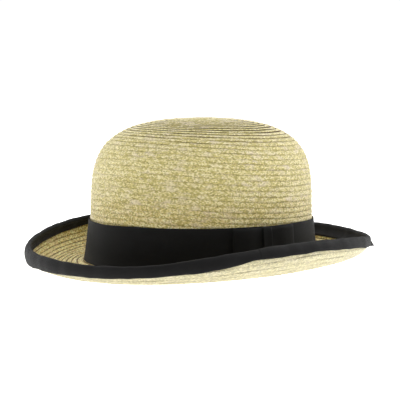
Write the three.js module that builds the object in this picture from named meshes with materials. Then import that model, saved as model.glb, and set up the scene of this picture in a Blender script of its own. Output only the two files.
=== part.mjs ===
// Straw bowler hat with a ribbon band, a flat side bow and a bound, curled brim.
// Millimetres. +X is the wearer's left, +Y the back of the hat, +Z up.
// Angles go round the hat from +X towards +Y, so the front is at -90 degrees.

import * as THREE from 'three';

// ---------------------------------------------------------------- driving dimensions

const columns = 60; // facets round the hat
const strawThickness = 1.6;
const ribbonThickness = 1.0;
const gap = 0.3; // clearance between touching pieces
const contactDepth = 0.4; // how far the straw is flattened where it stands
const lean = -0.4; // degrees that the hat leans back when it stands on its brim

const crown = {
  halfWidth: 87.7, // of the oval base line, outside
  halfLength: 101.3,
  height: 118,
  wall: 0.957, // width of the straight wall, as a share of the base line
  flareTop: 0.35, // height share below which the wall flares out to the base line
  flarePower: 1.5,
  domePower: 6.4, // shape of the rounded top
  shoulderPower: 2.5,
};

const rootRadius = 3.5; // bend between the crown and the brim

// The brim at five stations, the same on both sides of the hat. Slopes are in degrees above
// level, lengths in millimetres. rootLift moves the base line and edgeLift the edge up.
const brimStations = [
  { place: 'front', width: 54.5, rootSlope: -10.5, edgeSlope: 117, rootLift: 0.4, edgeLift: 0 },
  { place: 'front quarter', width: 60, rootSlope: -5, edgeSlope: 129, rootLift: 0.4, edgeLift: -0.4 },
  { place: 'side', width: 64, rootSlope: 4.5, edgeSlope: 169, rootLift: 0.1, edgeLift: 1.3 },
  { place: 'back quarter', width: 55.2, rootSlope: 8, edgeSlope: 112, rootLift: 0.5, edgeLift: -2.3 },
  { place: 'back', width: 45.7, rootSlope: 7.5, edgeSlope: 93, rootLift: -2.6, edgeLift: 2.7 },
];
const curlPower = 3.96; // how late across the brim its slope turns up

const band = { bottom: 3.6, top: 36.4, topTilt: 0.5 }; // heights above the base line
const bindingWidth = 9.4; // of each half of the folded ribbon, along the straw
const bow = { halfLength: 29, bottom: 4.8, top: 37, bulge: 0.9, knotHalfWidth: 4.5, knotRise: 0.5 };

// ---------------------------------------------------------------- shape of the hat

const degrees = Math.PI / 180;

// A value given at the stations, at any angle round the hat: the cosine series through them.
function around(column, angle) {
  const last = brimStations.length - 1;
  const endShare = (index) => (index === 0 || index === last ? 0.5 : 1);
  const fromFront = angle + 90 * degrees;
  let value = 0;
  for (let wave = 0; wave <= last; wave += 1) {
    let strength = 0;
    brimStations.forEach((station, index) => {
      strength += endShare(index) * station[column] * Math.cos((wave * index * Math.PI) / last);
    });
    value += (2 / last) * endShare(wave) * strength * Math.cos(wave * fromFront);
  }
  return value;
}

// Width of the crown at a height share, as a share of the base line.
function spread(share) {
  const flare = (1 - crown.wall) * Math.max(0, 1 - share / crown.flareTop) ** crown.flarePower;
  const dome = Math.max(0, 1 - share ** crown.domePower) ** (1 / crown.shoulderPower);
  return (crown.wall + flare) * dome;
}

// Middle of the straw on the crown, at an angle and a height share.
function crownPoint(angle, share) {
  const width = spread(share);
  const lift = around('rootLift', angle) * (1 - share) ** 2;
  return new THREE.Vector3(
    (crown.halfWidth - strawThickness / 2) * width * Math.cos(angle),
    (crown.halfLength - strawThickness / 2) * width * Math.sin(angle),
    (crown.height - strawThickness / 2) * share + lift,
  );
}

// Middle of the straw on the brim, at an angle and a length out from the base line.
function brimPoint(angle, length) {
  const width = around('width', angle);
  const rootSlope = around('rootSlope', angle) * degrees;
  const edgeSlope = around('edgeSlope', angle) * degrees;
  const steps = 60; // of the sum along the curve
  let out = 0;
  let up = 0;
  for (let step = 0; step < steps; step += 1) {
    const share = ((step + 0.5) / steps) * (length / width);
    const slope = rootSlope + (edgeSlope - rootSlope) * share ** curlPower;
    out += (length / steps) * Math.cos(slope);
    up += (length / steps) * Math.sin(slope);
  }
  const share = length / width;
  const outward = new THREE.Vector3(
    Math.cos(angle) / crown.halfWidth,
    Math.sin(angle) / crown.halfLength,
    0,
  ).normalize();
  const root = new THREE.Vector3(
    crown.halfWidth * Math.cos(angle),
    crown.halfLength * Math.sin(angle),
    around('rootLift', angle) + up + around('edgeLift', angle) * share ** 2,
  );
  return root.addScaledVector(outward, out);
}

// The bend between them: a curve from the wall to the brim with its control on the base line.
function bendPoint(angle, share) {
  const corner = new THREE.Vector3(
    (crown.halfWidth - strawThickness / 2) * Math.cos(angle),
    (crown.halfLength - strawThickness / 2) * Math.sin(angle),
    around('rootLift', angle),
  );
  const start = crownPoint(angle, rootRadius / crown.height);
  const end = brimPoint(angle, rootRadius);
  return new THREE.QuadraticBezierCurve3(start, corner, end).getPoint(share);
}

// The rows of the straw from the top of the crown to the brim's edge.
const domeRows = 12;
const wallRows = 5;
const bendRows = 2;
const plainRows = 7;
const edgeRows = 3; // under the binding
const domeEnd = 8 * degrees; // where the rounded top passes into the wall
const crowding = 0.8; // below 1, rows stand closer together towards the end of a stretch

function strawRows() {
  const rows = [];
  for (let row = 0; row <= domeRows; row += 1) {
    const turn = 90 * degrees + (domeEnd - 90 * degrees) * (row / domeRows);
    const share = Math.sin(turn) ** (2 / crown.domePower);
    rows.push((angle) => crownPoint(angle, share));
  }
  const wallTop = Math.sin(domeEnd) ** (2 / crown.domePower);
  const wallBottom = rootRadius / crown.height;
  for (let row = 1; row <= wallRows; row += 1) {
    const share = wallTop + (wallBottom - wallTop) * (row / wallRows) ** crowding;
    rows.push((angle) => crownPoint(angle, share));
  }
  for (let row = 1; row <= bendRows; row += 1) {
    rows.push((angle) => bendPoint(angle, row / (bendRows + 1)));
  }
  for (let row = 0; row <= plainRows; row += 1) {
    const share = (row / plainRows) ** crowding;
    rows.push((angle) => {
      const plainEnd = around('width', angle) - bindingWidth;
      return brimPoint(angle, rootRadius + (plainEnd - rootRadius) * share);
    });
  }
  for (let row = 1; row <= edgeRows; row += 1) {
    rows.push((angle) => {
      return brimPoint(angle, around('width', angle) - bindingWidth * (1 - row / edgeRows));
    });
  }
  return rows;
}

// ---------------------------------------------------------------- middle surface and its offsets

const angles = Array.from({ length: columns }, (_, index) => (index / columns) * 360 * degrees);
const rows = strawRows();
const edgeRow = rows.length - 1;
const lookAhead = 1; // millimetres past the edge, for the direction that it ends in
const beyondEdge = (angle) => brimPoint(angle, around('width', angle) + lookAhead);

// Middle points and outward directions, as [row][column].
const middle = [...rows, beyondEdge].map((place) => angles.map(place));
const outward = rows.map((_, row) => angles.map((_angle, column) => {
  if (row === 0) {
    return new THREE.Vector3(0, 0, 1);
  }
  const next = (column + 1) % columns;
  const previous = (column + columns - 1) % columns;
  const down = middle[row + 1][column].clone().sub(middle[row - 1][column]);
  const round = middle[row][next].clone().sub(middle[row][previous]);
  return down.cross(round).normalize();
}));

const offset = (row, column, distance) => {
  return middle[row][column].clone().addScaledVector(outward[row][column], distance);
};

// A point past the brim's edge, turned from the upper face (0) to the lower face (180 degrees).
function roundEdge(column, radius, turn) {
  const beyond = middle[edgeRow + 1][column].clone().sub(middle[edgeRow][column]).normalize();
  return offset(edgeRow, column, radius * Math.cos(turn))
    .addScaledVector(beyond, radius * Math.sin(turn));
}

// ---------------------------------------------------------------- closed meshes

function meshFrom(name, points, triangles, material) {
  const geometry = new THREE.BufferGeometry().setFromPoints(points);
  geometry.setIndex(triangles);
  geometry.computeVertexNormals();
  const mesh = new THREE.Mesh(geometry, material);
  mesh.name = name;
  return mesh;
}

// A ring whose sections are lists of points with the same count, closed both ways.
function ringMesh(name, sections, material) {
  const count = sections[0].length;
  const triangles = [];
  sections.forEach((_, index) => {
    const here = index * count;
    const there = ((index + 1) % sections.length) * count;
    for (let point = 0; point < count; point += 1) {
      const next = (point + 1) % count;
      triangles.push(here + point, there + point, there + next);
      triangles.push(here + point, there + next, here + next);
    }
  });
  return meshFrom(name, sections.flat(), triangles, material);
}

// ---------------------------------------------------------------- the pieces

const strawMaterial = new THREE.MeshStandardMaterial({ color: 0xd9cc96, roughness: 0.8 });
const ribbonMaterial = new THREE.MeshStandardMaterial({ color: 0x1b1c1f, roughness: 0.62 });
const bindingMaterial = new THREE.MeshStandardMaterial({ color: 0x222327, roughness: 0.6 });
const bowMaterial = new THREE.MeshStandardMaterial({ color: 0x191a1c, roughness: 0.62 });
const knotMaterial = new THREE.MeshStandardMaterial({ color: 0x17181a, roughness: 0.62 });

// Height of a point above the table, before the hat is set down on it.
const standing = new THREE.Euler(lean * degrees, 0, 0);
const heightOf = (point) => point.clone().applyEuler(standing).z;

// Crown and brim: one sewn braid, so one shell, open below for the head.
function strawBody() {
  const half = strawThickness / 2;
  const points = [];
  [half, -half].forEach((distance) => {
    points.push(offset(0, 0, distance));
    for (let row = 1; row <= edgeRow; row += 1) {
      angles.forEach((_, column) => points.push(offset(row, column, distance)));
    }
  });
  const floor = Math.min(...points.map(heightOf)) + contactDepth;
  points.forEach((point) => {
    point.z += Math.max(0, floor - heightOf(point)) / Math.cos(standing.x);
  });

  const faceSize = 1 + edgeRow * columns;
  const at = (face, row, column) => face * faceSize + 1 + (row - 1) * columns + (column % columns);
  const triangles = [];
  const addTriangle = (face, a, b, c) => triangles.push(...(face === 0 ? [a, b, c] : [a, c, b]));
  [0, 1].forEach((face) => {
    for (let column = 0; column < columns; column += 1) {
      addTriangle(face, face * faceSize, at(face, 1, column), at(face, 1, column + 1));
      for (let row = 1; row < edgeRow; row += 1) {
        const a = at(face, row, column);
        const b = at(face, row + 1, column);
        const c = at(face, row + 1, column + 1);
        const d = at(face, row, column + 1);
        addTriangle(face, a, b, c);
        addTriangle(face, a, c, d);
      }
    }
  });
  for (let column = 0; column < columns; column += 1) {
    const top = at(0, edgeRow, column);
    const topNext = at(0, edgeRow, column + 1);
    const low = at(1, edgeRow, column);
    const lowNext = at(1, edgeRow, column + 1);
    triangles.push(top, low, lowNext, top, lowNext, topNext);
  }
  return meshFrom('straw_body', points, triangles, strawMaterial);
}

// Ribbon folded over the brim's edge, wider than the straw by a gap on each face.
function brimBinding() {
  const inside = strawThickness / 2 + gap;
  const outside = inside + ribbonThickness;
  const firstRow = edgeRow - edgeRows;
  const sections = angles.map((_, column) => {
    const layer = (radius) => {
      const points = [];
      for (let row = firstRow; row <= edgeRow; row += 1) {
        points.push(offset(row, column, radius));
      }
      [45, 90, 135].forEach((turn) => points.push(roundEdge(column, radius, turn * degrees)));
      for (let row = edgeRow; row >= firstRow; row -= 1) {
        points.push(offset(row, column, -radius));
      }
      return points;
    };
    return [...layer(inside), ...layer(outside).reverse()];
  });
  return ringMesh('brim_binding', sections, bindingMaterial);
}

// A point outside the crown's wall, at a height above the base line and a distance off the straw.
function wallPoint(angle, height, distance) {
  const nearby = 0.01; // radians and height share between the points that give its direction
  const share = height / crown.height;
  const point = crownPoint(angle, share);
  const round = crownPoint(angle + nearby, share).sub(crownPoint(angle - nearby, share));
  const down = crownPoint(angle, share - nearby).sub(crownPoint(angle, share + nearby));
  return point.addScaledVector(down.cross(round).normalize(), strawThickness / 2 + distance);
}

const bandLevels = [0, 0.3, 0.62, 1]; // rows of the band, as shares of its height

function hatBand() {
  const sections = angles.map((angle) => {
    const top = band.top + band.topTilt * Math.sin(angle);
    const heights = bandLevels.map((level) => band.bottom + (top - band.bottom) * level);
    const outer = heights.map((height) => wallPoint(angle, height, gap + ribbonThickness));
    const inner = heights.map((height) => wallPoint(angle, height, gap));
    return [...outer, ...inner.reverse()];
  });
  return ringMesh('hat_band', sections, ribbonMaterial);
}

// The bow lies against the band on the wearer's left. A point of it: the length along the band
// from the knot, towards the back; the height; and the distance off the band.
function bowPoint(along, height, distance) {
  const angle = along / (crown.halfLength * crown.wall);
  const off = gap + ribbonThickness + distance;
  const low = wallPoint(angle, bow.bottom, off);
  const high = wallPoint(angle, bow.top, off);
  return low.lerp(high, (height - bow.bottom) / (bow.top - bow.bottom));
}

// A ribbon along a closed path, thickened to both sides of it. toPoint places a point of the
// path at the ribbon's first edge (0) or its second edge (1).
function bandLoop(name, path, material, toPoint) {
  const half = ribbonThickness / 2;
  const sections = path.map((here, index) => {
    const before = path[(index + path.length - 1) % path.length];
    const after = path[(index + 1) % path.length];
    const run = after.clone().sub(before).normalize();
    const normal = new THREE.Vector2(run.y, -run.x);
    const outer = here.clone().addScaledVector(normal, half);
    const inner = here.clone().addScaledVector(normal, -half);
    return [toPoint(inner, 0), toPoint(inner, 1), toPoint(outer, 1), toPoint(outer, 0)];
  });
  return ringMesh(name, sections, material);
}

const knotBack = gap + ribbonThickness / 2; // middle of the knot's ribbon behind the bow
const layerGap = (ribbonThickness + gap) / 2; // half the distance between the bow's layers
const bowMiddle = knotBack + ribbonThickness + gap + layerGap;

// One ribbon folded flat into two loops that meet behind the knot.
function bowLoops() {
  const steps = 8; // along each layer
  const straight = bow.halfLength - layerGap;
  const pinchMargin = 1; // the loops stay flat this far past the knot
  const pinched = bow.knotHalfWidth + pinchMargin;
  const path = [];
  [1, -1].forEach((side) => {
    for (let step = 0; step <= steps; step += 1) {
      const along = side * straight * (1 - (2 * step) / steps);
      const free = Math.max(0, Math.abs(along) - pinched) / (straight - pinched);
      const swell = bow.bulge * Math.sin(Math.PI * free) ** 2;
      path.push(new THREE.Vector2(along, bowMiddle + side * (layerGap + swell)));
    }
    path.push(new THREE.Vector2(-side * bow.halfLength, bowMiddle));
  });
  const toPoint = (place, end) => bowPoint(place.x, end === 0 ? bow.bottom : bow.top, place.y);
  return bandLoop('bow_loops', path, bowMaterial, toPoint);
}

// A short ribbon wrapped round the middle of the bow.
function bowKnot() {
  const rise = ribbonThickness / 2 + gap;
  const low = bow.bottom - rise;
  const high = bow.top + rise;
  const reach = layerGap + ribbonThickness + gap;
  const near = bowMiddle - reach;
  const far = bowMiddle + reach;
  const middleHeight = (low + high) / 2;
  const path = [
    new THREE.Vector2(near, middleHeight),
    new THREE.Vector2(near, low),
    new THREE.Vector2((near + far) / 2, low - bow.knotRise),
    new THREE.Vector2(far, low),
    new THREE.Vector2(far, middleHeight),
    new THREE.Vector2(far, high),
    new THREE.Vector2((near + far) / 2, high + bow.knotRise),
    new THREE.Vector2(near, high),
  ];
  const toPoint = (place, end) => {
    return bowPoint((2 * end - 1) * bow.knotHalfWidth, place.y, place.x);
  };
  return bandLoop('bow_knot', path, knotMaterial, toPoint);
}

// ---------------------------------------------------------------- the hat, set down on a table

const leaning = new THREE.Group();
leaning.add(strawBody(), brimBinding(), hatBand(), bowLoops(), bowKnot());
leaning.rotation.copy(standing);

const group = new THREE.Group();
group.add(leaning);
group.updateMatrixWorld(true);
const box = new THREE.Box3().setFromObject(group, true);
leaning.position.set(-(box.min.x + box.max.x) / 2, -(box.min.y + box.max.y) / 2, -box.min.z);
group.updateMatrixWorld(true);

export default group;
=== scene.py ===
"""Straw bowler hat: one sewn straw braid, a ribbon band with a flat side bow, and a bound brim.

Shapes are worked out in millimetres in the hat's own frame, with angles from +X towards +Y, and
set_down() leans the hat back and stands it in the model's frame in metres.
"""

import math

import bpy
import numpy as np
from mathutils import Matrix, Vector


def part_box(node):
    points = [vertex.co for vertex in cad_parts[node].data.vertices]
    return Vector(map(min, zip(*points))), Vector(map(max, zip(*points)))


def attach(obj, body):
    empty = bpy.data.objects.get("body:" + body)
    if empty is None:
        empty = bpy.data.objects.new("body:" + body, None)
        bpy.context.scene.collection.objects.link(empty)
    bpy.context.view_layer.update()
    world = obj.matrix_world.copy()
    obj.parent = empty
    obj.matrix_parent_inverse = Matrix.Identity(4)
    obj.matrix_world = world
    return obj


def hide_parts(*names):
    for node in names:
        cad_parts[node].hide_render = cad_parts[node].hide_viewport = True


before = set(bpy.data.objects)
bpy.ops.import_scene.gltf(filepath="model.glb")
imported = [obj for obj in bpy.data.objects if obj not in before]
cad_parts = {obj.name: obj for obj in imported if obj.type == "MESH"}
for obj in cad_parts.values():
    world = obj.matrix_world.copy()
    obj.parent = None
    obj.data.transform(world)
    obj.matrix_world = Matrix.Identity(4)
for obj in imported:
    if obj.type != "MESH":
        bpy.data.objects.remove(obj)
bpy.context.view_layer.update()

# -------------------- driving dimensions

HALF_STRAW = 0.8  # half the straw's thickness
LEAN = math.radians(-0.4)  # how the hat leans when it stands on its brim

CROWN = {
    "half_width": 87.7,  # of the oval base line, outside
    "half_length": 101.3,
    "height": 118.0,
    "wall": 0.957,  # width of the straight wall, as a share of the base line
    "flare_top": 0.35,  # height share below which the wall flares out to the base line
    "flare_power": 1.5,
    "dome_power": 6.4,  # shape of the rounded top
    "shoulder_power": 2.5,
}
ROOT_RADIUS = 3.5  # of the bend between the crown and the brim

# The brim at five stations from the front to the back, the same on both sides of the hat.
BRIM_COLUMNS = ("width", "root_slope", "edge_slope", "root_lift", "edge_lift")
BRIM_STATIONS = np.array([
    (54.5, -10.5, 117.0, 0.4, 0.0),  # front
    (60.0, -5.0, 129.0, 0.4, -0.4),  # front quarter
    (64.0, 4.5, 169.0, 0.1, 1.3),  # side
    (55.2, 8.0, 112.0, 0.5, -2.3),  # back quarter
    (45.7, 7.5, 93.0, -2.6, 2.7),  # back
])
CURL_POWER = 3.96  # how late across the brim its slope turns up

BRAID = {
    "pitch": 4.35,  # from one course to the next
    "width": 6.2,
    "thickness": 0.8,
    "step": 0.8,  # height between the upper and the lower of two lapped courses
    "belly": 0.16,  # how far the shown part bulges between its edges
    "plait": 3.3,  # length of one stitch of the plait
    "straw_length": 1.914,  # of the straws that show in a stitch
    "straw_width": 1.0875,
    "sections": 4,  # sections of the mesh for each stitch
    "lump": 0.05,  # how far the straws of the plait stand out
    "scallop": 0.25,  # how far they fold out at the braid's edge
    "brim_coarse": 2.4,  # how much coarser the lumps and folds are on the brim
}
# The spiral: its first turn, a turn past its last, points worked out in each turn, the angle where
# a turn starts, and the least run and the least length inside the edge where it is measured.
SPIRAL = {"first": -0.35, "last": 80, "points": 150, "turn_starts": math.radians(125),
          "least": 0.4, "inside": 0.5}
# How near the braid comes to the crown's tip and to the brim's edge, and what is added to that for
# each millimetre across it.
NEAREST = {"tip": (0.12, 0.03), "edge": (0.45, 0.08)}
# Two lapped courses. Places across a course are shares of half its width, towards the free edge.
LAP = {
    "rise": 1.9,  # half the width over which a course rises from below to above
    "shown_from": -0.6,  # place where the covered part ends
    "shown_full": -0.2,
    "belly_middle": 0.3,
    "belly_half": 0.7,
    "wall": 0.6,  # share of the step on the crown's wall
    "wall_from": 45,  # run where the wall's share sets in, and where it is reached
    "wall_full": 85,
    "more": 0.68,  # added to that share on the dome and on the brim
    "brim": np.array([0.65, 1.05, 0.08]),  # on the brim: for edges, upper and lower face
}
# Strength of the painted shade line between two courses, by the run from the crown's tip.
LINE_SHADE = {
    "tip": 0.4,
    "dome": (1.3, 14, 34),  # what the dome adds, and where that starts and is full
    "shoulder": (0.7, 50, 64),  # what the shoulder takes off, and the same
    "wall": (0.80, 62, 88),  # what the wall takes off, and the same
    "right": 0.17,  # what the wall's right side gives back
    "right_angle": math.radians(35),
    "brim": 0.1,  # what the brim takes off
}
CHANGE = 14  # length over the crown's foot where the courses lap the other way
# Warmer tone of the crown's lowest courses, and how far over its foot it starts and is full.
FOOT_WARMING = {"most": 0.3, "starts": 62, "full": 38}
# The courses are highest on one side of the crown and dip on the other, in two waves round the
# hat. The dip sets in between two runs, and ends between lengths above and below the brim's bend.
DIP = {"once": 4.5, "twice": 1.6, "highest": math.radians(-78), "starts": 20.0, "full": 90.0,
       "above": 25, "below": 18}

# Heights over the base line, how far the top leans, the faces' distances off the straw, how far
# the foot flares, and how much the edges are thinned.
BAND = {"bottom": 1.2, "top": 36.4, "top_tilt": 0.5, "inner": 0.45, "outer": 1.25, "skirt": 0.2,
        "thinned": 0.22}
# Angle in degrees, and how far the band's upper edge lies over its level.
BAND_TOP = np.array([
    (-160, -0.3), (-120, -0.4), (-92, -0.4), (-66, 0.3), (-38, 0.75), (-12, 0.4), (18, -0.2),
    (50, -1.4), (76, -1.3), (130, -0.4),
]) * (math.pi / 180, 1)
# Width over the brim, distances of the two faces off the middle of the straw and the least that
# the outer one may have, and the lap: its angle, its height and how far it pulls the edge in. In
# radians from the lap, how wide its step is, where it fades, how far round it pulls, and where the
# sections lie closer.
BINDING = {"width": 9.4, "inner": 1.2, "outer": 2.0, "least": 1.5,
           "lap": math.radians(-15.5), "lap_height": 0.35, "lap_pull": 2.0,
           "lap_step": 0.003, "lap_fades": (0.03, 0.2), "lap_reach": 0.13, "closer": (-0.03, 0.06)}
# Angle in degrees, and how far under the brim the binding's lower edge lies there.
BINDING_UNDER = np.array([
    (-150, 9.0), (-122, 10.6), (-104, 10.2), (-90, 9.0), (-72, 8.3), (-50, 8.4), (-35, 9.1),
    (-12, 9.4), (2, 8.1), (20, 7.9), (38, 7.0), (75, 8.0), (120, 9.0), (165, 9.0),
])
# Angle in degrees, spread in degrees, and how far the lower edge stands off the straw there.
BINDING_LOOSE = [(-117, 14, 2.6)]
# Angle, spread in degrees and height of the puffs over the binding's even thickness.
BINDING_PUFFS = [(84, 14, 0.9), (97, 2.5, 0.6), (-50, 26, -0.4)]
# Angle, spread in degrees, and how far a pointed fold of the lower edge stands out.
BINDING_CORNER = (57, 3.5, 7.0)
# Angle, spread in degrees, and how much narrower the brim is cut there. The binding's under side
# follows it by a share.
EDGE_TRIM = (-50, 26, 1.5)
TRIM_SHARE = 0.7
BOW = {
    "half_length": 29.0,
    "bottom": 4.4,
    "top": 36.2,
    "ribbon": 0.8,  # thickness
    "loops_off": 3.35,  # how far off the straw the middle of the loops lies
    "lift": 0.35,  # added to that towards their ends
    "depth": 0.62,  # half the loops' depth beside the knot
    "puff": 0.75,  # added to that towards their ends
    "puffed": 0.62,  # share of the half length where that is reached
    "pinch": 0.7,  # how far the knot draws the ribbon's edges in
    "pinched": (2, 13),  # lengths between which that fades
    "droop": 0.25,
}
KNOT = {
    "half_width": 4.5,
    "narrower": 0.10,  # share taken off that half way up
    "lower": 0.3,  # than the loops, at the bottom and at the top
    "less_high": 0.1,
    "off": 3.4,  # how far off the straw its middle lies
    "half_depth": 1.75,
    "folds": 0.04,  # height of the waves across its outer face
    "waves": 1.25,  # in half the width
    "turned_in": 0.6,  # how far its edges turn in
}

# -------------------- shape of the hat


def around(column, angle):
    """Cosine series in the angle from the front through the five stations of a column."""
    values = BRIM_STATIONS[:, BRIM_COLUMNS.index(column)]
    last = len(values) - 1
    waves = np.arange(last + 1)
    ends = np.where((waves == 0) | (waves == last), 0.5, 1.0)
    turns = np.cos(np.outer(waves, waves) * np.pi / last)
    strength = 2 / last * ends * (turns @ (ends * values))
    return np.cos((np.asarray(angle)[..., None] + np.pi / 2) * waves) @ strength


def spread(share):
    """Width at a share of the height: a wall with a flare below, times a rounded dome."""
    flare = np.maximum(0, 1 - share / CROWN["flare_top"]) ** CROWN["flare_power"]
    dome = np.maximum(0, 1 - share ** CROWN["dome_power"]) ** (1 / CROWN["shoulder_power"])
    return (CROWN["wall"] + (1 - CROWN["wall"]) * flare) * dome


def crown_point(angle, share):
    """Ellipse of the base line times the spread, raised by a share of the crown's height."""
    width = spread(share)
    lift = around("root_lift", angle) * (1 - share) ** 2
    return np.stack([
        (CROWN["half_width"] - HALF_STRAW) * width * np.cos(angle),
        (CROWN["half_length"] - HALF_STRAW) * width * np.sin(angle),
        (CROWN["height"] - HALF_STRAW) * share + lift,
    ], axis=-1)


CURVE_POINTS, CURVE_WEIGHTS = np.polynomial.legendre.leggauss(8)
CURVE_POINTS, CURVE_WEIGHTS = (CURVE_POINTS + 1) / 2, CURVE_WEIGHTS / 2


def brim_point(angle, length):
    """Base line plus the sums of cosine and sine of a slope that turns up late across the brim."""
    share = length / around("width", angle)
    root = np.radians(around("root_slope", angle))
    edge = np.radians(around("edge_slope", angle))
    out, up = 0.0, 0.0
    for point, weight in zip(CURVE_POINTS, CURVE_WEIGHTS):
        slope = root + (edge - root) * (share * point) ** CURL_POWER
        out = out + weight * length * np.cos(slope)
        up = up + weight * length * np.sin(slope)
    across = np.cos(angle) / CROWN["half_width"]
    along = np.sin(angle) / CROWN["half_length"]
    size = np.hypot(across, along)
    return np.stack([
        CROWN["half_width"] * np.cos(angle) + out * across / size,
        CROWN["half_length"] * np.sin(angle) + out * along / size,
        around("root_lift", angle) + up + around("edge_lift", angle) * share ** 2,
    ], axis=-1)


def bend_point(angle, share):
    """Quadratic curve from the crown's foot to the brim, with its control on the base line."""
    corner = np.stack([
        (CROWN["half_width"] - HALF_STRAW) * np.cos(angle),
        (CROWN["half_length"] - HALF_STRAW) * np.sin(angle),
        around("root_lift", angle),
    ], axis=-1)
    foot = crown_point(angle, np.full_like(angle, ROOT_RADIUS / CROWN["height"]))
    root = brim_point(angle, np.full_like(angle, ROOT_RADIUS))
    share = share[..., None]
    return (1 - share) ** 2 * foot + 2 * share * (1 - share) * corner + share ** 2 * root


# Length down the crown against the share of its height, on an oval of the mean size.
DOME_TURNS = np.linspace(np.pi / 2, 0, 4001)
SHARES = np.sin(DOME_TURNS) ** (2 / CROWN["dome_power"])
MEAN_HALF = (CROWN["half_width"] + CROWN["half_length"]) / 2
RUNS = np.concatenate([[0], np.cumsum(np.hypot(
    np.diff(MEAN_HALF * spread(SHARES)), np.diff(CROWN["height"] * SHARES)))])
CROWN_LENGTH = float(np.interp(-ROOT_RADIUS / CROWN["height"], -SHARES, RUNS))
BEND_LENGTH = 5.6
BRIM_START = CROWN_LENGTH + BEND_LENGTH
MEAN_WIDTH = 58.0
FOLLOWS_WIDTH = 0.75  # how far the courses spread where the brim is wider


def brim_stretch(angle):
    return 1 + FOLLOWS_WIDTH * (around("width", angle) / MEAN_WIDTH - 1)


def straw_middle(angle, run):
    """Crown, bend and brim joined end to end by the length run from the tip of the crown."""
    angle, run = np.broadcast_arrays(angle, run)
    points = np.empty(angle.shape + (3,))
    crown, brim = run < CROWN_LENGTH, run > BRIM_START
    bend = ~(crown | brim)
    points[crown] = crown_point(angle[crown], np.interp(run[crown], RUNS, SHARES))
    points[bend] = bend_point(angle[bend], (run[bend] - CROWN_LENGTH) / BEND_LENGTH)
    length = ROOT_RADIUS + (run[brim] - BRIM_START) * brim_stretch(angle[brim])
    points[brim] = brim_point(angle[brim], length)
    return points


def unit(vectors):
    return vectors / np.maximum(np.linalg.norm(vectors, axis=-1, keepdims=True), 1e-9)


def lengths_along(path):
    """Length of a path up to each of its points."""
    return np.concatenate([[0], np.cumsum(np.linalg.norm(np.diff(path, axis=0), axis=1))])


LEAST_RUN = 0.6  # nearest to the crown's tip that a direction is worked out
RUN_STEP, ANGLE_STEP = 0.3, 0.004


def straw_normal(angle, run):
    """Cross product of the directions down the hat and round it, away from the head."""
    run = np.maximum(run, LEAST_RUN)
    down = straw_middle(angle, run + RUN_STEP) - straw_middle(angle, run - RUN_STEP)
    round_hat = straw_middle(angle + ANGLE_STEP, run) - straw_middle(angle - ANGLE_STEP, run)
    return unit(np.cross(down, round_hat))


def swelling(angle, at, wide, most):
    """Bell curve round the hat: its place and spread in degrees, and its height."""
    away = (np.degrees(angle) - at + 180) % 360 - 180
    return most * np.exp(-(away / wide) ** 2)


def cut_width(angle):
    """Length of the brim's slope at an angle, less what is trimmed off its edge."""
    return around("width", angle) - swelling(angle, *EDGE_TRIM)


def brim_run(angle, from_edge):
    """The run that lies a length inside the brim's edge."""
    length = cut_width(angle) - from_edge
    return BRIM_START + (length - ROOT_RADIUS) / brim_stretch(angle)


# -------------------- setting the hat down

LEANING = np.array(Matrix.Rotation(LEAN, 3, "X"))


def hat_shift():
    """Moves the leaning straw's box onto the model's: middles in plan, and tops in height."""
    angle = np.radians(np.arange(0, 360, 6.0))[None, :]
    crown_rows = np.linspace(LEAST_RUN, BRIM_START, 60)[:, None]
    edge_rows = np.linspace(20, 0, 40)[:, None]  # lengths inside the brim's edge
    run = np.concatenate([crown_rows + 0 * angle, brim_run(angle, edge_rows)])
    angle = np.broadcast_to(angle, run.shape)
    middle, normal = straw_middle(angle, run), straw_normal(angle, run)
    normal = HALF_STRAW * normal
    shell = np.concatenate([middle + normal, middle - normal]).reshape(-1, 3) @ LEANING.T
    low, high = (np.array(corner) * 1000 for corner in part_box("straw_body"))
    shift = (low + high) / 2 - (shell.min(axis=0) + shell.max(axis=0)) / 2
    shift[2] = high[2] - shell[:, 2].max()
    return shift


SHIFT = hat_shift()
FLOOR_CLEARANCE = 0.05  # least height over the table


def set_down(points):
    """Leans and shifts points of the hat, keeps them on the table, and gives metres."""
    placed = points @ LEANING.T + SHIFT
    placed[..., 2] = np.maximum(placed[..., 2], FLOOR_CLEARANCE)
    return placed / 1000


# -------------------- meshes


def new_object(name, data):
    item = bpy.data.objects.new(name, data)
    bpy.context.scene.collection.objects.link(item)
    return item


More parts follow.
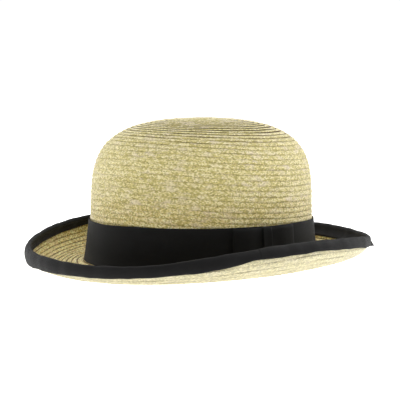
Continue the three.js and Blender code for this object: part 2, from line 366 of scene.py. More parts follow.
def tube_mesh(name, points, lengths, across, material, closed, marks=None):
    """Mesh of a ring of points carried along a path, points being [section, ring point].

    lengths gives U at each section, and across gives V where each side of the ring starts and
    ends, as two rows, in millimetres. Marks are a number for each section and one for each side
    of each section, kept in a second layer. A closed path joins the last section to the first, and
    an open one is capped at both ends.
    """
    sections, ring = points.shape[:2]
    spans = sections if closed else sections - 1
    here = np.arange(spans)[:, None]
    there = (here + 1) % sections
    point = np.arange(ring)[None, :]
    following = (point + 1) % ring
    corners = np.stack([here * ring + point, there * ring + point,
                        there * ring + following, here * ring + following], axis=-1)
    lengths = np.append(lengths, lengths[-1] + (lengths[1] - lengths[0])) if closed else lengths
    across = np.asarray(across)
    if across.ndim == 1:
        across = np.stack([across, np.roll(across, -1)])
    v = np.stack([across[0], across[0], across[1], across[1]], axis=-1)
    shape = (spans, ring, 4)

    def at_corners(values):
        return np.stack([values[:-1], values[1:], values[1:], values[:-1]], axis=-1)[:, None]

    layers = {"Along and across": (at_corners(lengths), v[None])}
    if marks is not None:
        layers["Line shade and face"] = (at_corners(marks[0]), marks[1][:spans, :, None])
    uv = np.stack([np.broadcast_to(part, shape) for pair in layers.values() for part in pair], -1)
    solid = set_down(points)
    to_skin = solid - solid.mean(axis=1, keepdims=True)
    facing = np.cross(solid[1:] - solid[:-1], np.roll(solid, -1, axis=1)[:-1] - solid[:-1])
    inwards = (facing * to_skin[:-1]).sum() < 0
    loops = corners.reshape(-1, 4)
    uv = uv.reshape(-1, 4, 2 * len(layers))
    if inwards:
        loops, uv = loops[:, ::-1], uv[:, ::-1]
    starts = np.arange(len(loops)) * 4
    totals = np.full(len(loops), 4)
    loops, uv = loops.reshape(-1), uv.reshape(-1, 2 * len(layers))
    if not closed:
        first = np.arange(ring) if inwards else np.arange(ring)[::-1]
        last = (sections - 1) * ring + first[::-1]
        starts = np.concatenate([starts, [len(loops), len(loops) + ring]])
        totals = np.concatenate([totals, [ring, ring]])
        loops = np.concatenate([loops, first, last])
        cap_uv = np.zeros((2 * ring, 2 * len(layers)))
        cap_uv[:, 0] = np.repeat([lengths[0], lengths[-1]], ring)
        cap_uv[:, 1] = across[0][np.r_[first, last] % ring]
        uv = np.concatenate([uv, cap_uv])
    mesh = bpy.data.meshes.new(name)
    mesh.vertices.add(sections * ring)
    mesh.vertices.foreach_set("co", solid.astype(np.float32).ravel())
    mesh.loops.add(len(loops))
    mesh.loops.foreach_set("vertex_index", loops.astype(np.int32))
    mesh.polygons.add(len(starts))
    mesh.polygons.foreach_set("loop_start", starts.astype(np.int32))
    mesh.polygons.foreach_set("loop_total", totals.astype(np.int32))
    mesh.polygons.foreach_set("use_smooth", np.ones(len(starts), dtype=bool))
    for number, label in enumerate(layers):
        layer = mesh.uv_layers.new(name=label)
        layer.data.foreach_set("uv", uv[:, 2 * number:2 * number + 2].astype(np.float32).ravel())
    mesh.update(calc_edges=True)
    mesh.validate()
    mesh.materials.append(material)
    return new_object(name, mesh)


# Unevenness along the braid and the ribbons: seed of its phases, wavelengths and their sizes.
RIPPLES = {
    "braid_sway": (3, (61, 97, 143, 37), (0.12, 0.12, 0.1, 0.05)),
    "braid_height": (5, (23, 41, 83, 11), (0.04, 0.05, 0.05, 0.03)),
    "band_top": (11, (90, 47, 160), (0.12, 0.06, 0.15)),
    "band_swell": (12, (75, 130, 33), (0.05, 0.06, 0.03)),
    "binding_over": (21, (57, 91, 31), (0.15, 0.2, 0.1)),
    "binding_under": (22, (47, 29, 17), (0.15, 0.12, 0.08)),
    "binding_puff": (23, (19, 33, 71, 12), (0.10, 0.14, 0.16, 0.05)),
}


def ripple(place, name):
    """Sum of the sine waves of a named unevenness."""
    seed, wavelengths, sizes = RIPPLES[name]
    phases = np.random.default_rng(seed).uniform(0, 2 * np.pi, len(wavelengths))
    return sum(size * np.sin(2 * np.pi * place / wave + phase)
               for wave, size, phase in zip(wavelengths, sizes, phases))


def smooth_step(low, high, value):
    share = np.clip((value - low) / (high - low), 0, 1)
    return share * share * (3 - 2 * share)


# -------------------- material building


def new_material(name):
    material = bpy.data.materials.new(name)
    material.use_nodes = True
    tree = material.node_tree
    tree.nodes.clear()
    output = tree.nodes.new("ShaderNodeOutputMaterial")
    shader = tree.nodes.new("ShaderNodeBsdfPrincipled")
    tree.links.new(shader.outputs["BSDF"], output.inputs["Surface"])
    return material, tree, shader


def feed(tree, node, values):
    """Links or sets a node's inputs, by name or number."""
    for label, value in values.items():
        if isinstance(value, bpy.types.NodeSocket):
            tree.links.new(value, node.inputs[label])
        else:
            node.inputs[label].default_value = value


def add_node(tree, kind, *values, named=(), **settings):
    """New node with its settings, its first inputs in order, and others by name or number."""
    node = tree.nodes.new(kind)
    for label, value in settings.items():
        setattr(node, label, value)
    feed(tree, node, dict(enumerate(values)) | dict(named))
    return node


def maths(tree, operation, *values):
    return add_node(tree, "ShaderNodeMath", *values, operation=operation).outputs[0]


def times(tree, first, second):
    return maths(tree, "MULTIPLY", first, second)


def noise(tree, vector, detail, roughness):
    return add_node(tree, "ShaderNodeTexNoise", named={
        "Vector": vector, "Scale": 1.0, "Detail": detail, "Roughness": roughness}).outputs["Fac"]


def bump(tree, height, distance, strength):
    return add_node(tree, "ShaderNodeBump", named={
        "Height": height, "Distance": distance, "Strength": strength}).outputs["Normal"]


def stretch_range(tree, value, low, high, to_low=0.0, to_high=1.0):
    return add_node(tree, "ShaderNodeMapRange", value, low, high, to_low, to_high).outputs[0]


def blend_colours(tree, factor, first, second, mode="MIX"):
    return add_node(tree, "ShaderNodeMix", named={0: factor, 6: first, 7: second},
                    data_type="RGBA", blend_type=mode, clamp_result=True).outputs[2]


def vector_of(tree, x, y, z=0.0):
    return add_node(tree, "ShaderNodeCombineXYZ", x, y, z).outputs[0]


def parts_of(tree, vector):
    return add_node(tree, "ShaderNodeSeparateXYZ", vector).outputs


def scaled(tree, parts, along, across):
    """Vector of the first two parts of a vector, each times a number."""
    return vector_of(tree, times(tree, parts[0], along), times(tree, parts[1], across))


def uv_vector(tree, layer="Along and across"):
    return add_node(tree, "ShaderNodeUVMap", uv_map=layer).outputs[0]


def new_group(name, inputs, outputs):
    """Group of nodes fed with the first UV layer and with numbers, which gives numbers."""
    group = bpy.data.node_groups.new(name, "ShaderNodeTree")
    group.interface.new_socket("Along and across", socket_type="NodeSocketVector")
    for labels, way in ((inputs, "INPUT"), (outputs, "OUTPUT")):
        for label in labels:
            group.interface.new_socket(label, in_out=way, socket_type="NodeSocketFloat")
    return group, group.nodes.new("NodeGroupInput").outputs, group.nodes.new("NodeGroupOutput")


def plait_group():
    """Straws crossing over and under on the two diagonals of the braid.

    Diagonal coordinates are U over the plait's length plus and minus V over its width. Each
    whole cell shows one straw: on even cells it runs along one diagonal, on odd cells along the
    other. Its height is a power of a parabola across it times one along it, its tone is a random
    number for the cell, its fibre is noise drawn out along it, and its crevice shade, a painted
    shade, is where it is low.
    """
    group, inputs, outputs = new_group("Plaited straw", ("Plait length", "Plait width"),
                                       ("Height", "Tone", "Fibre", "Crevice shade"))
    split = parts_of(group, inputs[0])
    along = maths(group, "DIVIDE", split[0], inputs[1])
    across = maths(group, "DIVIDE", split[1], inputs[2])
    first = maths(group, "ADD", along, across)
    second = maths(group, "SUBTRACT", along, across)
    cell_a, cell_b = maths(group, "FLOOR", first), maths(group, "FLOOR", second)
    part_a, part_b = maths(group, "FRACT", first), maths(group, "FRACT", second)
    odd = maths(group, "FLOORED_MODULO", maths(group, "ADD", cell_a, cell_b), 2.0)

    def choose(even_value, odd_value):
        change = maths(group, "SUBTRACT", odd_value, even_value)
        return maths(group, "MULTIPLY_ADD", change, odd, even_value)

    def arch(part):
        rest = maths(group, "SUBTRACT", 1.0, part)
        return times(group, times(group, part, rest), 4.0)

    side, length = choose(part_b, part_a), choose(part_a, part_b)
    across_arch = maths(group, "POWER", arch(side), 0.6)
    along_arch = maths(group, "POWER", arch(length), 0.45)
    height = times(group, across_arch, maths(group, "MULTIPLY_ADD", along_arch, 0.5, 0.5))
    half_cell = maths(group, "DIVIDE", choose(cell_a, cell_b), 2.0)
    straw = vector_of(group, choose(cell_b, cell_a), maths(group, "FLOOR", half_cell), odd)
    tone = add_node(group, "ShaderNodeTexWhiteNoise", named={"Vector": straw})
    drawn_out = vector_of(group, times(group, side, 7.0), times(group, length, 0.7),
                          maths(group, "MULTIPLY_ADD", cell_b, 7.3, cell_a))
    # The crevice shade is painted shade where the straw lies low.
    feed(group, outputs, {"Height": height, "Tone": tone.outputs["Value"],
                          "Fibre": noise(group, drawn_out, 2.0, 0.6),
                          "Crevice shade": stretch_range(group, height, 0.15, 0.6, 1.0, 0.0)})
    return group


THREAD_PITCH = 0.34


def rib_group():
    """Grosgrain: rounded ribs across the ribbon, a finer thread crossing them, and a selvedge.

    The ribs are a sine of U over their pitch, the threads a sine of V, and the selvedge is the
    strip within a length of either edge, where V is at least its distance from the middle.
    """
    group, inputs, outputs = new_group(
        "Ribbed ribbon", ("Rib pitch", "Half width", "Selvedge"), ("Height", "Edge", "Wear"))
    split = parts_of(group, inputs[0])
    turn = maths(group, "DIVIDE", split[0], inputs[1])
    rib = maths(group, "ABSOLUTE", maths(group, "SINE", times(group, turn, math.pi)))
    thread = maths(group, "SINE", times(group, split[1], 2 * math.pi / THREAD_PITCH))
    inner = maths(group, "SUBTRACT", inputs[2], inputs[3])
    edge = maths(group, "GREATER_THAN", maths(group, "ABSOLUTE", split[1]), inner)
    height = maths(group, "ADD", rib, times(group, thread, 0.12))
    feed(group, outputs, {"Height": maths(group, "MULTIPLY_ADD", edge, 0.6, height),
                          "Edge": edge,
                          "Wear": noise(group, scaled(group, split, 0.05, 0.16), 4.0, 0.6)})
    return group


STRAW_PALE = (0.95, 0.86, 0.53, 1)
STRAW_YELLOW = (0.78, 0.68, 0.26, 1)
STRAW_OLIVE = (0.55, 0.46, 0.14, 1)
STRAW_ROSY = (0.90, 0.78, 0.60, 1)
# Colour of the painted shade along the courses and in the plait's crevices.
STRAW_PAINTED_SHADE = (0.24, 0.12, 0.035, 1)
# Paler colour towards the head: painted light for the floor-lit underside of the brim.
STRAW_UNDER_PAINTED_LIGHT = (0.78, 0.74, 0.55, 1)
# Warmer, brighter colour outside: painted warm bounce light on the brim's upper face, and a warmer
# tone over the crown's foot.
STRAW_WARMING = (1.18, 1.025, 0.80, 1)


def straw_material(plait):
    """Natural straw: a tone for each straw, paler and rosier stretches, and painted shade in the
    crevices and along the courses.

    The face mark is 0 to 1 on the outside, where it brings speckle and a warmer tone, which on the
    brim's upper face is painted warm bounce light that brightens it, and -1 towards the head,
    where the straw is paler as painted light for the lit underside, less speckled and has less
    painted line shade.
    """
    material, tree, shader = new_material("Natural plaited straw")
    uv = uv_vector(tree)
    weave = add_node(tree, "ShaderNodeGroup", uv, BRAID["straw_length"], BRAID["straw_width"],
                     node_tree=plait)
    place = parts_of(tree, uv)
    line_shade_marks, face = parts_of(tree, uv_vector(tree, "Line shade and face"))[:2]
    tone = weave.outputs["Tone"]
    face_mark = stretch_range(tree, face, 0.0, 1.0)
    under = stretch_range(tree, face, -1.0, 0.0, 1.0, 0.0)

    # Olive, yellow and pale straws, in batches along the braid, and rosy stretches of them.
    batch = noise(tree, scaled(tree, place, 0.075, 0.12), 3.0, 0.6)
    long_batch = noise(tree, vector_of(tree, times(tree, place[0], 0.012), 7.0), 2.0, 0.5)
    mixed = maths(tree, "ADD", times(tree, tone, 0.75),
                  times(tree, stretch_range(tree, batch, 0.3, 0.7), 0.25))
    # Paler on the brim's upper face, as painted light, and a little paler over the crown's foot.
    mixed = maths(tree, "MULTIPLY_ADD", face_mark, 0.14, mixed)
    colour = blend_colours(tree, stretch_range(tree, mixed, 0.12, 0.48), STRAW_OLIVE, STRAW_YELLOW)
    colour = blend_colours(tree, stretch_range(tree, mixed, 0.5, 0.85), colour, STRAW_PALE)
    rosy = times(tree, stretch_range(tree, long_batch, 0.42, 0.62),
                 stretch_range(tree, batch, 0.5, 0.62))
    colour = blend_colours(tree, times(tree, rosy, 0.8), colour, STRAW_ROSY)
    shade = times(tree, stretch_range(tree, weave.outputs["Fibre"], 0.3, 0.7, 0.86, 1.08),
                  stretch_range(tree, tone, 0.0, 1.0, 0.88, 1.10))
    colour = blend_colours(tree, 1.0, colour, vector_of(tree, shade, shade, shade), "MULTIPLY")

    # The two faces: paler towards the head, as painted light for the brightly lit underside, and
    # speckled outside, with painted warm bounce light that brightens the brim's upper face and a
    # warmer tone over the crown's foot.
    colour = blend_colours(tree, times(tree, under, 0.6), colour, STRAW_UNDER_PAINTED_LIGHT)
    speckled = maths(tree, "MAXIMUM", face_mark, times(tree, under, 0.4))
    speck = stretch_range(tree, tone, 0.0, 1.0, 0.70, 1.12)
    colour = blend_colours(tree, speckled, colour, vector_of(tree, speck, speck, speck), "MULTIPLY")
    colour = blend_colours(tree, face_mark, colour, STRAW_WARMING, "MULTIPLY")

    # Painted shade: dark lines beside the next course's edge and on the free edge, weaker towards
    # the head, and shade in the crevices of the plait.
    beside = stretch_range(tree, place[1], -1.2, -0.6, 1.0, 0.0)
    edge = stretch_range(tree, maths(tree, "ABSOLUTE", place[1]), 2.8, 3.1)
    line_shade = times(tree, maths(tree, "MAXIMUM", beside, edge), line_shade_marks)
    line_shade = times(tree, line_shade, maths(tree, "MULTIPLY_ADD", under, -0.7, 1.0))
    painted_shade = maths(tree, "MAXIMUM", line_shade, times(tree, weave.outputs["Crevice shade"], 0.38))
    colour = blend_colours(tree, painted_shade, colour, STRAW_PAINTED_SHADE, "MULTIPLY")
    height = maths(tree, "MULTIPLY_ADD", weave.outputs["Fibre"], 0.12, weave.outputs["Height"])
    feed(tree, shader, {
        "Base Color": colour,
        "Roughness": maths(tree, "MULTIPLY_ADD", weave.outputs["Fibre"], 0.25, 0.28),
        "Specular IOR Level": 0.45,
        "Normal": bump(tree, height, 0.0006, 1.0),
    })
    return material


def ribbon_material(name, ribs, colour, half_width, pitch):
    """Black ribbed ribbon, a little greyer where it is worn, and greyer along its selvedges as a
    painted highlight.
    """
    material, tree, shader = new_material(name)
    cloth = add_node(tree, "ShaderNodeGroup", uv_vector(tree), pitch, half_width, 1.1,
                     node_tree=ribs)
    plain, greyer = tuple(colour) + (1,), tuple(1.7 * part for part in colour) + (1,)
    # Greyer in worn patches, and along the selvedges as a painted highlight.
    wear_and_highlight = maths(tree, "ADD",
                 times(tree, stretch_range(tree, cloth.outputs["Wear"], 0.4, 0.7), 0.6),
                 times(tree, cloth.outputs["Edge"], 0.25))
    feed(tree, shader, {
        "Base Color": blend_colours(tree, wear_and_highlight, plain, greyer),
        "Roughness": maths(tree, "MULTIPLY_ADD", cloth.outputs["Wear"], 0.2, 0.6),
        "Specular IOR Level": 0.08,
        "Sheen Weight": 0.06,
        "Sheen Roughness": 0.5,
        "Normal": bump(tree, cloth.outputs["Height"], 0.00012, 0.7),
    })
    return material


RIBS = rib_group()
STRAW = straw_material(plait_group())
BAND_RIBBON = ribbon_material("Black band ribbon", RIBS, (0.0059, 0.0060, 0.0061), 16.5, 0.9)
BOW_RIBBON = ribbon_material("Black bow ribbon", RIBS, (0.0055, 0.0057, 0.0058), 16.0, 0.9)
BINDING_RIBBON = ribbon_material("Black binding ribbon", RIBS, (0.0066, 0.0064, 0.0064), 9.4, 0.8)

# -------------------- the sewn straw braid

# Points round a section of the braid: the place across it, from the covered edge (-1) to the
# free edge (1), and the face, 1 outside the hat, -1 towards the head and 0 on an edge.
SECTION = np.array([
    (-1.00, 0), (-0.80, 1), (-0.36, 1), (0.02, 1), (0.40, 1), (0.80, 1),
    (1.00, 0), (0.80, -1), (0.36, -1), (-0.02, -1), (-0.40, -1), (-0.80, -1),
])


def braid_path():
    """Spiral: the run grows by a pitch each turn, with the dip's two cosines taken off it.

    It is worked out at even angles, cut off past the brim's edge, and read again at the even
    lengths of the plait's sections.
    """
    turns = np.arange(SPIRAL["first"], SPIRAL["last"], 1 / SPIRAL["points"])
    angle = 2 * np.pi * turns + SPIRAL["turn_starts"]
    run = BRAID["pitch"] * turns
    ramp = smooth_step(DIP["starts"], DIP["full"], run)
    ramp = ramp * (1 - smooth_step(CROWN_LENGTH - DIP["above"], BRIM_START + DIP["below"], run))
    from_highest = angle - DIP["highest"]
    dip = DIP["once"] * np.cos(from_highest) + DIP["twice"] * np.cos(2 * from_highest)
    run -= dip * ramp
    widest = brim_run(np.zeros(1), 0.0)[0]
    keep = run < widest + BRAID["width"] / 2
    keep[np.argmin(keep):] = False
    angle, run = angle[keep], run[keep]
    measured = np.clip(run, SPIRAL["least"], brim_run(angle, SPIRAL["inside"]))
    lengths = lengths_along(straw_middle(angle, measured))
    even = np.arange(0, lengths[-1], BRAID["plait"] / BRAID["sections"])
    return np.interp(even, lengths, angle), np.interp(even, lengths, run), even


def sew_braid(angle, run, length, lap):
    """Sections of the braid laid like shingles, each over the covered edge of the next course.

    A point's run is the path's run plus its place across, kept short of the crown's tip and of the
    brim's edge. Its height over the middle surface is the lapped step, an S from below to above,
    plus or minus half the braid's thickness, plus a parabola over the shown part of each face, plus
    the lumps of the plait: the product of two cosines on the braid's diagonals. The lap is 1
    where the free edge looks away from the crown's tip, and -1 where it looks towards it. On the
    brim the two faces have steps of their own.
    """
    half = BRAID["width"] / 2
    place, face = SECTION[:, 0], SECTION[:, 1]
    shingle = lap * place
    phase_u = np.pi * length[:, None] / BRAID["plait"]
    phase_v = np.pi * half * place[None] / BRAID["pitch"]
    crossing = np.abs(np.cos(phase_u + phase_v) * np.cos(phase_u - phase_v))
    coarse = 1 if lap > 0 else BRAID["brim_coarse"]
    scallop = BRAID["scallop"] * coarse * (np.abs(np.cos(phase_u)) - 0.5)
    edge = np.abs(place[None]) ** 6
    sway = ripple(length, "braid_sway")
    across = half * place[None] + np.sign(place)[None] * edge * scallop + sway[:, None]
    step = np.sin(np.clip(half * shingle / LAP["rise"], -1, 1) * np.pi / 2) * BRAID["step"] / 2
    plump = np.sqrt(np.maximum(0.0, 1 - np.abs(place) ** 7)) * BRAID["thickness"] / 2
    shown = smooth_step(LAP["shown_from"], LAP["shown_full"], face * shingle)
    uneven = ripple(length, "braid_height")
    bulge = 1 - ((face * shingle - LAP["belly_middle"]) / LAP["belly_half"]) ** 2
    belly = BRAID["belly"] * np.maximum(0, bulge)
    if lap < 0:
        step = step * LAP["brim"][1 * (face > 0) + 2 * (face < 0)]
    on_wall = smooth_step(LAP["wall_from"], LAP["wall_full"], run) * (run < BRIM_START)
    steeper = LAP["wall"] + LAP["more"] * (1 - on_wall)[:, None]
    height = step[None] * steeper + (face * (plump + belly))[None]
    height += face * shown * BRAID["lump"] * coarse * (2 * crossing - 1) + uneven[:, None]
    angles = np.broadcast_to(angle[:, None], across.shape)
    nearest, added = NEAREST["tip"]
    reach = np.maximum(run[:, None] + across, nearest + added * (half + across))
    nearest, added = NEAREST["edge"]
    reach = np.minimum(reach, brim_run(angles, nearest + added * (half - across)))
    points = straw_middle(angles, reach) + height[..., None] * straw_normal(angles, reach)
    side = np.where(np.maximum(face, np.roll(face, -1)) > 0, 1, -1)
    return points, half * np.stack([shingle * side, np.roll(shingle, -1) * side]), side


def line_shade_strength(angle, run):
    """Strength of the painted line shade: sum of smooth steps in the run, the wall's less so
    towards its right side.
    """
    dome, shoulder, wall = (smooth_step(*LINE_SHADE[part][1:], run)
                            for part in ("dome", "shoulder", "wall"))
    strength = LINE_SHADE["tip"] + LINE_SHADE["dome"][0] * dome - LINE_SHADE["shoulder"][0] * shoulder
    towards_right = np.cos(angle - LINE_SHADE["right_angle"])
    wall = wall * (run < CROWN_LENGTH) * (LINE_SHADE["wall"][0] - LINE_SHADE["right"] * towards_right)
    return strength - wall - LINE_SHADE["brim"] * (run > CROWN_LENGTH)


def make_straw():
    """The braid cut into five closed tubes: three for the crown, two for the brim.

    The brim's two are lapped the other way, and the change lies under the band.
    """
    angle, run, length = braid_path()
    turn = int(np.argmax(run > CROWN_LENGTH - CHANGE))
    last = len(run) - 1
    # Strength of the painted shade line between courses, section by section.
    line_shade = line_shade_strength(angle, run)
    # Face mark outside: a warmer tone over the crown's foot, and full on the brim, where it is
    # painted warm bounce light.
    warm = FOOT_WARMING["most"] * smooth_step(
        CROWN_LENGTH - FOOT_WARMING["starts"], CROWN_LENGTH - FOOT_WARMING["full"], run)
    warm = np.where(run > CROWN_LENGTH, 1.0, warm)
    pieces = [
        ("straw_crown_top", 0, turn // 3, 1),
        ("straw_crown_side", turn // 3, 2 * turn // 3, 1),
        ("straw_crown_foot", 2 * turn // 3, turn, 1),
        ("straw_brim_inner", turn, (turn + last) // 2, -1),
        ("straw_brim_outer", (turn + last) // 2, last, -1),
    ]
    for name, start, end, lap in pieces:
        part = slice(start, end + 1)
        points, across, side = sew_braid(angle[part], run[part], length[part], lap)
        face_mark = np.where(side < 0, -1.0, warm[part][:, None])
        piece = tube_mesh(name, points, length[part], across, STRAW, False, (line_shade[part], face_mark))
        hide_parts("straw_body")
        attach(piece, "root")


make_straw()

# -------------------- ribbons


WALL_STEP = 0.01  # of the angle and of the height share, to work out a direction


def wall_point(angle, height, distance):
    """Crown point at a height above the base line, moved out along the crown's normal."""
    share = height / CROWN["height"]
    point = crown_point(angle, share)
    round_hat = crown_point(angle + WALL_STEP, share) - crown_point(angle - WALL_STEP, share)
    down = crown_point(angle, share - WALL_STEP) - crown_point(angle, share + WALL_STEP)
    normal = unit(np.cross(down, round_hat))
    return point + (HALF_STRAW + distance)[..., None] * normal


def hat_band():
    """Ring round the foot of the crown: rows of heights outside and inside, with thin edges.

    Its distance off the straw grows by a parabola at the foot, and ripples round the hat.
    """
    angle = np.linspace(0, 2 * np.pi, 480, endpoint=False)[:, None]
    lengths = MEAN_HALF * CROWN["wall"] * angle[:, 0]
    outer_rows = np.sort(np.concatenate([np.linspace(0, 1, 13), [0.02, 0.05, 0.98]]))
    inner_rows = np.linspace(1, 0, 7)
    share = np.concatenate([outer_rows, inner_rows])[None]
    outside = np.concatenate([np.ones(len(outer_rows)), np.zeros(len(inner_rows))])[None]
    top = BAND["top"] + BAND["top_tilt"] * np.sin(angle) + np.interp(
        angle, *BAND_TOP.T, period=2 * np.pi)
    top = top + ripple(lengths, "band_top")[:, None]
    height = BAND["bottom"] + (top - BAND["bottom"]) * share
    skirt = BAND["skirt"] * np.maximum(0, 1 - (height - BAND["bottom"]) / ROOT_RADIUS) ** 2
    swell = ripple(lengths, "band_swell")[:, None]
    rounding = BAND["thinned"] * np.abs(2 * share - 1) ** 14
    thick = BAND["outer"] - BAND["inner"]
    distance = BAND["inner"] + outside * (thick - rounding + swell) + (1 - outside) * rounding
    distance = distance + skirt
    points = wall_point(np.broadcast_to(angle, height.shape), height,
                        np.broadcast_to(distance, height.shape))
    half = (BAND["top"] - BAND["bottom"]) / 2
    band = tube_mesh("hat_band_ribbon", points, lengths, half * (2 * share[0] - 1), BAND_RIBBON,
                     True)
    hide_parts("hat_band")
    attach(band, "root")
    return band


def bow_point(along, height, distance):
    """Point over the band on the wearer's left, at a length along it, a height and a distance."""
    angle = along / (CROWN["half_length"] * CROWN["wall"])
    return wall_point(angle, height, distance)


def bow_section():
    """Places across the ribbon on its two faces, which face each is, and half its thickness."""
    rows = np.linspace(-1, 1, 13)
    across = np.concatenate([rows, rows[::-1]])[None]
    side = np.repeat([1.0, -1.0], len(rows))[None]
    return across, side, BOW["ribbon"] / 2 * np.sqrt(np.maximum(0.04, 1 - np.abs(across) ** 12))


def out_of_path(path):
    """Direction at a right angle to a closed path in its plane."""
    run = unit(np.roll(path, -1, axis=0) - np.roll(path, 1, axis=0))
    return np.stack([run[:, 1], -run[:, 0]], axis=-1)


def bow_loops():
    """One ribbon on a closed path of two flat loops, which puff out towards their ends."""
    turn = np.linspace(0, 2 * np.pi, 161)[:-1]
    reach = np.sign(np.cos(turn)) * (1 - (1 - np.abs(np.cos(turn))) ** 1.35)
    along = BOW["half_length"] * reach
    puffed = BOW["half_length"] * BOW["puffed"]
    free = smooth_step(KNOT["half_width"] + 1, puffed, np.abs(along))
    ends = np.sqrt(np.maximum(0, 1 - (along / BOW["half_length"]) ** 8))
    depth = (BOW["depth"] + BOW["puff"] * free) * ends * np.sign(np.sin(turn))
    path = np.stack([along, BOW["loops_off"] + BOW["lift"] * free + depth], axis=-1)
    across, side, half = bow_section()
    place = path[:, None, :] + (side * half)[..., None] * out_of_path(path)[:, None, :]
    pinch = BOW["pinch"] * (1 - smooth_step(*BOW["pinched"], np.abs(along)))[:, None]
    droop = BOW["droop"] * np.sin(turn)[:, None]
    half_height = (BOW["top"] - BOW["bottom"]) / 2
    height = BOW["bottom"] + half_height * (across + 1) - pinch * across + droop
    points = bow_point(place[..., 0], height, place[..., 1])
    loops = tube_mesh("bow_loop_ribbon", points, lengths_along(path), half_height * across[0],
                      BOW_RIBBON, True)
    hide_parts("bow_loops")
    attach(loops, "root")
    return loops


def bow_knot():
    """A short ribbon on a closed path round the middle of the loops, narrower at its middle.

    On its outer face, folds are a cosine across it, and its edges turn in by a power of it.
    """
    turn = np.linspace(0, 2 * np.pi, 121)[:-1]
    low, high = BOW["bottom"] - KNOT["lower"], BOW["top"] - KNOT["less_high"]
    rise = np.sign(np.cos(turn)) * np.abs(np.cos(turn)) ** 0.45
    height = (low + high) / 2 + (high - low) / 2 * rise
    depth = KNOT["half_depth"] * np.sign(np.sin(turn)) * np.abs(np.sin(turn)) ** 0.5
    path = np.stack([KNOT["off"] + depth, height], axis=-1)
    across, side, half = bow_section()
    folds = KNOT["folds"] * np.cos(2 * np.pi * KNOT["waves"] * across)
    folds = folds - KNOT["turned_in"] * across ** 6
    outer_face = (np.sin(turn) > 0) * (1 - np.abs(np.cos(turn)) ** 3)
    off = side * half + folds * outer_face[:, None]
    place = path[:, None, :] + off[..., None] * out_of_path(path)[:, None, :]
    narrow = 1 - KNOT["narrower"] * np.abs(np.sin(turn)[:, None])
    along = KNOT["half_width"] * across * narrow
    points = bow_point(along, place[..., 1], place[..., 0])
    knot = tube_mesh("bow_knot_ribbon", points, lengths_along(path),
                     KNOT["half_width"] * across[0], BOW_RIBBON, True)
    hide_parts("bow_knot")
    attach(knot, "root")
    return knot


def brim_binding():
    """Ribbon folded over the brim's edge: a hairpin section carried round the hat.

    A row lies at a length inside the edge and a distance to either side of the straw, or on a
    half circle past the edge. The ribbon is narrower and stepped where its ends lap, its lower
    edge stands off the straw in loose places, and a pointed fold stands out at one corner.
    """
    even = np.linspace(0, 2 * np.pi, 600, endpoint=False)
    fine = BINDING["lap"] + np.linspace(*BINDING["closer"], 60)
    angle = np.unique(np.concatenate([even, fine % (2 * np.pi)]))
    base = brim_point(angle, cut_width(angle))
    lengths = lengths_along(base)
    from_lap = (angle - BINDING["lap"] + np.pi) % (2 * np.pi) - np.pi
    lap = smooth_step(-BINDING["lap_step"], BINDING["lap_step"], from_lap)
    lap = lap * (1 - smooth_step(*BINDING["lap_fades"], from_lap))
    pull = np.exp(-(from_lap / BINDING["lap_reach"]) ** 2)
    width_top = BINDING["width"] + ripple(lengths, "binding_over")
    turned = (np.degrees(angle) - BINDING_UNDER[0, 0]) % 360 + BINDING_UNDER[0, 0]
    width_low = np.interp(turned, *np.vstack([BINDING_UNDER, BINDING_UNDER[0] + (360, 0)]).T)
    width_low = width_low + ripple(lengths, "binding_under")
    width_low = width_low - BINDING["lap_pull"] * pull - TRIM_SHARE * swelling(angle, *EDGE_TRIM)
    loose = sum(swelling(angle, *place) for place in BINDING_LOOSE)
    corner = swelling(angle, *BINDING_CORNER)
    face_rows, fold_rows = 9, 9
    share = np.linspace(1, 0, face_rows)
    fold = np.linspace(0, np.pi, fold_rows)[1:-1]

    def layer(radius):
        """Rows from the upper edge over the fold to the lower edge at a distance off the straw."""
        flat = [(width_top * part, 1.0) for part in share] + [
            (width_low * part, -1.0) for part in share[::-1]]
        parts = []
        beyond = unit(brim_point(angle, cut_width(angle) + 1.0) - base)
        for index, (inside, side) in enumerate(flat):
            if index == face_rows:
                normal = straw_normal(angle, brim_run(angle, 0.0))
                for turn in fold:
                    parts.append(base + radius[:, None] * (
                        np.cos(turn) * normal + np.sin(turn) * beyond))
            run = brim_run(angle, inside)
            off = radius + (loose * (inside / width_low) ** 2 if side < 0 else 0)
            row = straw_middle(angle, run) + side * off[:, None] * straw_normal(angle, run)
            if side < 0:
                outward = corner * (inside / width_low) ** 1.5
                row = row + outward[:, None] * unit(base * (1, 1, 0))
            parts.append(row)
        return np.stack(parts, axis=1)

    puff = ripple(lengths, "binding_puff")
    puff = puff + sum(swelling(angle, *place) for place in BINDING_PUFFS)
    outer = BINDING["outer"] + puff + BINDING["lap_height"] * lap
    outside = layer(np.maximum(outer, BINDING["least"]))
    inside = layer(np.full_like(angle, BINDING["inner"]))
    points = np.concatenate([outside, inside[:, ::-1]], axis=1)
    rows = outside.shape[1]
    across = BINDING["width"] * np.linspace(-1, 1, rows)
    binding = tube_mesh("brim_binding_ribbon", points, lengths,
                        np.concatenate([across, across[::-1]]), BINDING_RIBBON, True)
    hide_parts("brim_binding")
    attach(binding, "root")
    return binding


band = hat_band()
loops = bow_loops()
knot = bow_knot()
binding = brim_binding()

# -------------------- camera

CAMERA = {
    "azimuth": 54.83,
    "elevation": 6.456,
    "roll": -0.128,
    "distance": 1.25215,
    "aim": Vector((-0.00096, 0.00201, 0.05276)),
    "lens": 134.6,
}


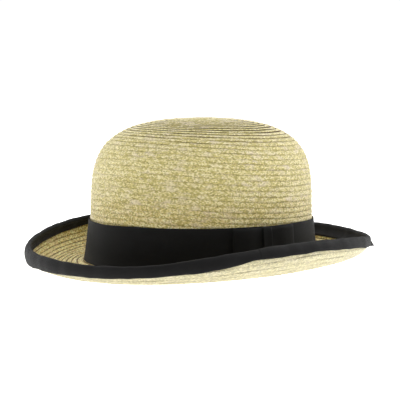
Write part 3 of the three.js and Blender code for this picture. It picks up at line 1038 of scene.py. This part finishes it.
def place_camera():
    """Stands back from the aim point along the azimuth and elevation, and looks at it."""
    azimuth, elevation = math.radians(CAMERA["azimuth"]), math.radians(CAMERA["elevation"])
    right = Vector((math.cos(azimuth), math.sin(azimuth), 0))
    back = Vector((math.sin(azimuth) * math.cos(elevation),
                   -math.cos(azimuth) * math.cos(elevation), math.sin(elevation)))
    up = back.cross(right)
    turn = Matrix((right, up, back)).transposed() @ Matrix.Rotation(
        -math.radians(CAMERA["roll"]), 3, "Z")
    camera = new_object("Camera", bpy.data.cameras.new("Camera"))
    camera.data.lens = CAMERA["lens"]
    camera.data.sensor_width = 36
    camera.matrix_world = Matrix.Translation(
        CAMERA["aim"] + CAMERA["distance"] * back) @ turn.to_4x4()
    bpy.context.scene.camera = camera


place_camera()

# -------------------- floor and studio light

FLOOR_SIZE = 14.0
# Name, degrees round from the camera, height, distance, side and watts.
SOFTBOXES = [
    ("Softbox left", -80, 0.7, 1.3, 1.1, 4.2),
    ("Softbox right", 80, 0.7, 1.3, 1.1, 6.3),
    ("Softbox left back", -125, 0.8, 1.4, 1.2, 11.7),
    ("Softbox right back", 125, 0.8, 1.4, 1.2, 13.0),
    ("Softbox back", 180, 0.8, 1.4, 1.2, 7.3),
    ("Softbox overhead", 180, 1.7, 0.3, 1.6, 21.0),
    ("Softbox over camera", 0, 1.5, 0.9, 1.2, 6.4),
    ("Softbox front", 0, 0.6, 1.6, 1.2, 2.7),
]


def studio_floor():
    mesh = bpy.data.meshes.new("studio_floor")
    half = FLOOR_SIZE / 2
    mesh.from_pydata([(-half, -half, 0), (half, -half, 0), (half, half, 0), (-half, half, 0)], [],
                     [(0, 1, 2, 3)])
    material, tree, shader = new_material("Pale floor")
    feed(tree, shader, {
        "Base Color": (0.86, 0.86, 0.85, 1),
        "Roughness": 0.8,
        "Specular IOR Level": 0.1,
        "Emission Color": (1, 1, 1, 1),
        "Emission Strength": 1.13,
    })
    mesh.materials.append(material)
    floor = new_object("studio_floor", mesh)


def softbox(name, azimuth, height, distance, size, watts):
    """A square light that faces the middle of the hat from an azimuth and a height."""
    light = bpy.data.lights.new(name, "AREA")
    light.shape = "SQUARE"
    light.size = size
    light.energy = watts
    holder = new_object(name, light)
    turn = math.radians(azimuth)
    place = Vector((math.sin(turn) * distance, -math.cos(turn) * distance, height))
    holder.location = place
    holder.rotation_euler = (place - Vector((0, 0, 0.05))).to_track_quat("Z", "Y").to_euler()


def studio_world():
    """Surroundings that are white where they are seen, and give no light."""
    world = bpy.data.worlds.new("Studio")
    world.use_nodes = True
    tree = world.node_tree
    tree.nodes.clear()
    seen = add_node(tree, "ShaderNodeBackground", (1, 1, 1, 1), 1.05)
    path = add_node(tree, "ShaderNodeLightPath")
    mix = add_node(tree, "ShaderNodeMixShader",
                   named={0: path.outputs["Is Camera Ray"], 2: seen.outputs[0]})
    add_node(tree, "ShaderNodeOutputWorld", mix.outputs[0])
    bpy.context.scene.world = world


studio_floor()
studio_world()
for name, azimuth, height, distance, size, watts in SOFTBOXES:
    softbox(name, CAMERA["azimuth"] + azimuth, height, distance, size, watts)
bpy.context.scene.view_settings.view_transform = "Standard"

bpy.context.view_layer.update()
